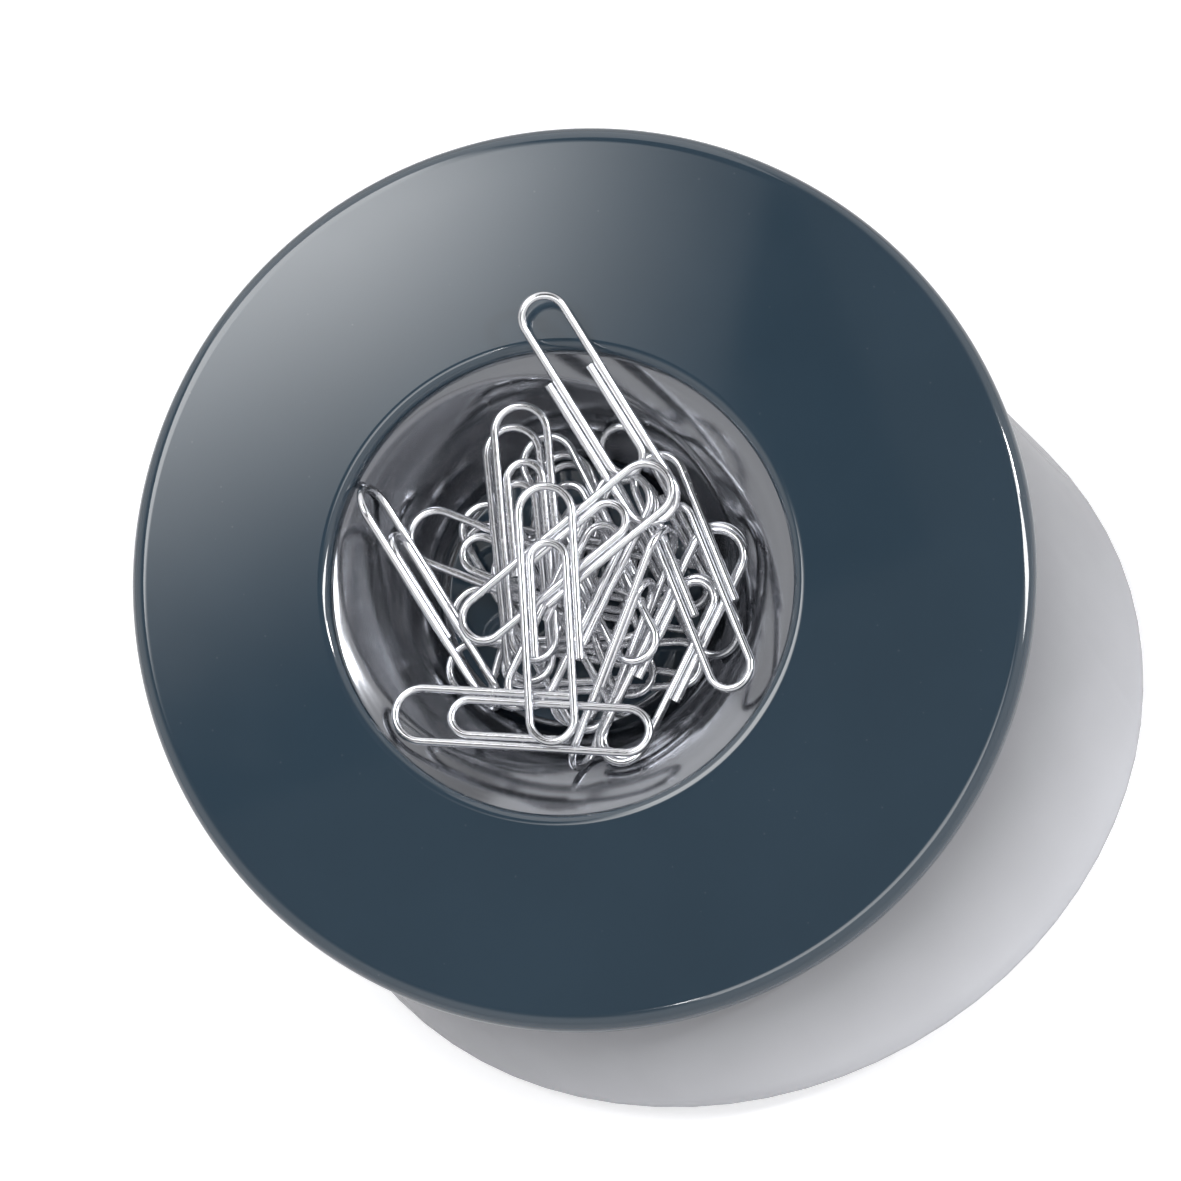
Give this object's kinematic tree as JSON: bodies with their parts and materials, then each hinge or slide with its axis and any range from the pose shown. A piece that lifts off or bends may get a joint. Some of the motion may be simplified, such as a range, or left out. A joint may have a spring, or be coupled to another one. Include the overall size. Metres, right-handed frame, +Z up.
{
  "type": "magnetic paper clip holder",
  "caption": "Desk holder for paper clips: a wide disc, tilted to the front on a round body, with a steel bowl in it and a magnet under the bowl that keeps the loose clips in a pile.",
  "frame": {"origin": "centre of the round foot, on the surface that the holder stands on", "axes": "+Z up, -Y to the front, where the disc is lowest, and +X to the right of someone who faces the holder"},
  "size_m": [0.1025, 0.0952, 0.0591],
  "materials": {
    "disc_gloss": "polished",
    "bowl_steel": "fine turned polish",
    "inlay_gloss": "polished",
    "body_gloss": "polished",
    "ferrite": "ground",
    "plain_steel": "zinc plated",
    "inner_plastic": "moulded",
    "screw_steel": "zinc plated",
    "foot_rubber": "moulded",
    "clip_wire": "bright drawn wire"
  },
  "bodies": {
    "holder": {"top_ring": "disc_gloss", "bowl": "bowl_steel", "floor_inlay": "inlay_gloss", "base_shell": "body_gloss", "magnet": "ferrite", "magnet_plate": "plain_steel", "magnet_carrier": "inner_plastic", "carrier_screws": "screw_steel", "top_screws": "screw_steel", "base_plate": "inner_plastic", "base_screws": "screw_steel", "ballast": "plain_steel", "ballast_screws": "screw_steel", "foot_pad": "foot_rubber"},
    "clip_pile": {"heap_clip_1": "clip_wire", "heap_clip_2": "clip_wire", "heap_clip_3": "clip_wire", "heap_clip_4": "clip_wire", "heap_clip_5": "clip_wire", "heap_clip_6": "clip_wire", "heap_clip_7": "clip_wire", "heap_clip_8": "clip_wire", "heap_clip_9": "clip_wire", "heap_clip_10": "clip_wire", "heap_clip_11": "clip_wire", "heap_clip_12": "clip_wire", "heap_clip_13": "clip_wire", "heap_clip_14": "clip_wire", "heap_clip_15": "clip_wire", "heap_clip_16": "clip_wire", "heap_clip_17": "clip_wire", "loose_clip_1": "clip_wire", "loose_clip_5": "clip_wire"},
    "back_clip": {"loose_clip_2": "clip_wire"},
    "crossing_clip": {"loose_clip_3": "clip_wire"},
    "top_clip": {"loose_clip_4": "clip_wire"}
  },
  "joints": [
    {"name": "pile_lift", "type": "slide", "parent": "holder", "child": "clip_pile", "axis": [0, -0.4384, 0.8988], "range_m": [0, 0.045]},
    {"name": "back_clip_lift", "type": "slide", "parent": "clip_pile", "child": "back_clip", "axis": [0, -0.4384, 0.8988], "range_m": [0, 0.04]},
    {"name": "crossing_clip_lift", "type": "slide", "parent": "back_clip", "child": "crossing_clip", "axis": [0, -0.4384, 0.8988], "range_m": [0, 0.04]},
    {"name": "top_clip_lift", "type": "slide", "parent": "crossing_clip", "child": "top_clip", "axis": [0, -0.4384, 0.8988], "range_m": [0, 0.04]}
  ]
}
